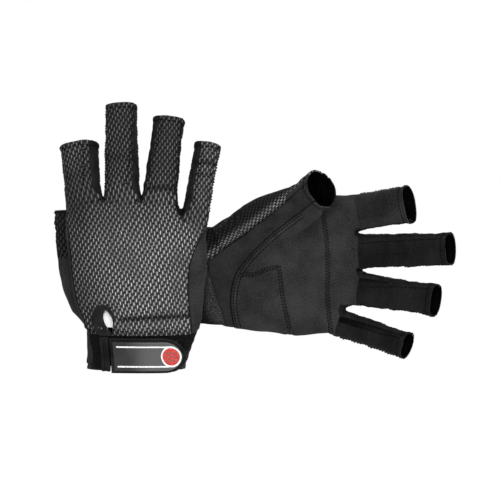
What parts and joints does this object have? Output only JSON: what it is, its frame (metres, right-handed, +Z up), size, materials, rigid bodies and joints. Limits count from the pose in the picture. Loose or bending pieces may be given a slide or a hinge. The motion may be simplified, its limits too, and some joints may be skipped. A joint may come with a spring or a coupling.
{
  "type": "sailing gloves",
  "caption": "Pair of short-finger sailing gloves with mesh backs, suede palms and hook-and-loop wrist straps.",
  "frame": {"origin": "middle of the pair's outline on the surface it lies on", "axes": "+Z up off the surface; +Y along the right glove towards its fingertips; +X along the left glove towards its fingertips"},
  "size_m": [0.2792, 0.1898, 0.0578],
  "materials": {
    "mesh": "printed mesh knit, charcoal with light grey grains",
    "suede": "matt synthetic suede",
    "overlay": "matt synthetic suede overlay, double stitched",
    "walls": "smooth stretch fabric",
    "knit": "elastic rib knit",
    "loop": "brushed loop fabric",
    "hook": "moulded hooks",
    "webbing": "bound and stitched edge",
    "strap_rubber": "soft moulded rubber with a satin sheen",
    "rib_rubber": "ribbed moulded rubber",
    "white_print": "raised white print",
    "red_print": "raised red print",
    "binding": "folded bias tape",
    "label": "woven white label"
  },
  "bodies": {
    "left_hand": {"left_back_panel": "mesh", "left_care_label": "label", "left_cuff_band": "knit", "left_flex_gussets": "suede", "left_heel_patch": "overlay", "left_knuckle_patch": "overlay", "left_loop_patch": "loop", "left_palm_panel": "suede", "left_palm_patch": "overlay", "left_strap_root": "rib_rubber", "left_vent_binding": "binding"},
    "left_index_finger": {"left_index_back": "mesh", "left_index_palm": "suede", "left_index_walls": "walls"},
    "left_middle_finger": {"left_middle_back": "mesh", "left_middle_palm": "suede", "left_middle_walls": "walls"},
    "left_ring_finger": {"left_ring_back": "mesh", "left_ring_palm": "suede", "left_ring_walls": "walls"},
    "left_little_finger": {"left_little_back": "mesh", "left_little_palm": "suede", "left_little_walls": "walls"},
    "left_thumb": {"left_thumb_back": "suede", "left_thumb_palm": "suede"},
    "left_strap": {"left_strap_tab": "webbing", "left_strap_face": "strap_rubber", "left_strap_print": "white_print", "left_strap_emblem": "red_print", "left_hook_pad": "hook"},
    "right_hand": {"right_back_panel": "mesh", "right_care_label": "label", "right_cuff_band": "knit", "right_flex_gussets": "suede", "right_heel_patch": "overlay", "right_knuckle_patch": "overlay", "right_loop_patch": "loop", "right_palm_panel": "suede", "right_palm_patch": "overlay", "right_strap_root": "rib_rubber", "right_vent_binding": "binding"},
    "right_index_finger": {"right_index_back": "mesh", "right_index_palm": "suede", "right_index_walls": "walls"},
    "right_middle_finger": {"right_middle_back": "mesh", "right_middle_palm": "suede", "right_middle_walls": "walls"},
    "right_ring_finger": {"right_ring_back": "mesh", "right_ring_palm": "suede", "right_ring_walls": "walls"},
    "right_little_finger": {"right_little_back": "mesh", "right_little_palm": "suede", "right_little_walls": "walls"},
    "right_thumb": {"right_thumb_back": "suede", "right_thumb_palm": "suede"},
    "right_strap": {"right_strap_tab": "webbing", "right_strap_face": "strap_rubber", "right_strap_print": "white_print", "right_strap_emblem": "red_print", "right_hook_pad": "hook"}
  },
  "joints": [
    {"name": "right_glove_lift", "type": "slide", "parent": "left_hand", "child": "right_hand", "axis": [0, 0, 1], "range_m": [0, 0.12]},
    {"name": "left_index_knuckle", "type": "hinge", "parent": "left_hand", "child": "left_index_finger", "pos_m": [0.0734, 0.0169, 0.02067], "axis": [0.165, -0.9863, 0], "range_deg": [-10, 60], "stiffness_Nm_per_rad": 0.02, "deforming": ["left_flex_gussets"]},
    {"name": "left_middle_knuckle", "type": "hinge", "parent": "left_hand", "child": "left_middle_finger", "pos_m": [0.07436, -0.00992, 0.02067], "axis": [0.0262, -0.9997, 0], "range_deg": [-10, 60], "stiffness_Nm_per_rad": 0.02, "deforming": ["left_flex_gussets"]},
    {"name": "left_ring_knuckle", "type": "hinge", "parent": "left_hand", "child": "left_ring_finger", "pos_m": [0.07389, -0.03605, 0.02067], "axis": [-0.1478, -0.989, 0], "range_deg": [-10, 60], "stiffness_Nm_per_rad": 0.02, "deforming": ["left_flex_gussets"]},
    {"name": "left_little_knuckle", "type": "hinge", "parent": "left_hand", "child": "left_little_finger", "pos_m": [0.05999, -0.05961, 0.02067], "axis": [-0.309, -0.9511, 0], "range_deg": [-10, 60], "stiffness_Nm_per_rad": 0.02, "deforming": ["left_flex_gussets"]},
    {"name": "left_thumb_base", "type": "hinge", "parent": "left_hand", "child": "left_thumb", "pos_m": [-0.00142, 0.01195, 0.02094], "axis": [0, 0, 1], "range_deg": [0, 30], "stiffness_Nm_per_rad": 0.02, "deforming": ["left_flex_gussets"]},
    {"name": "left_strap_hinge", "type": "hinge", "parent": "left_hand", "child": "left_strap", "pos_m": [-0.03492, -0.00045, 0.00138], "axis": [0.9968, 0, -0.08], "range_deg": [0, 150]},
    {"name": "right_index_knuckle", "type": "hinge", "parent": "right_hand", "child": "right_index_finger", "pos_m": [-0.11727, 0.0274, 0.02619], "axis": [-0.9877, -0.1373, -0.0748], "range_deg": [-10, 60], "stiffness_Nm_per_rad": 0.02, "deforming": ["right_flex_gussets"]},
    {"name": "right_middle_knuckle", "type": "hinge", "parent": "right_hand", "child": "right_middle_finger", "pos_m": [-0.09035, 0.02836, 0.02777], "axis": [-0.9968, -0.0516, -0.0609], "range_deg": [-10, 60], "stiffness_Nm_per_rad": 0.02, "deforming": ["right_flex_gussets"]},
    {"name": "right_ring_knuckle", "type": "hinge", "parent": "right_hand", "child": "right_ring_finger", "pos_m": [-0.06415, 0.02787, 0.02906], "axis": [-0.9956, 0.086, -0.0378], "range_deg": [-10, 60], "stiffness_Nm_per_rad": 0.02, "deforming": ["right_flex_gussets"]},
    {"name": "right_little_knuckle", "type": "hinge", "parent": "right_hand", "child": "right_little_finger", "pos_m": [-0.04025, 0.01409, 0.028], "axis": [-0.9877, 0.1543, -0.0259], "range_deg": [-10, 50], "stiffness_Nm_per_rad": 0.02, "deforming": ["right_flex_gussets"]},
    {"name": "right_thumb_base", "type": "hinge", "parent": "right_hand", "child": "right_thumb", "pos_m": [-0.11453, -0.0462, 0.01262], "axis": [-0.0516, -0.165, 0.9849], "range_deg": [0, 35], "stiffness_Nm_per_rad": 0.02, "deforming": ["right_flex_gussets"]},
    {"name": "right_strap_hinge", "type": "hinge", "parent": "right_hand", "child": "right_strap", "pos_m": [-0.09978, -0.08218, 0.02542], "axis": [0.0232, -0.8964, -0.4426], "range_deg": [0, 150]}
  ]
}
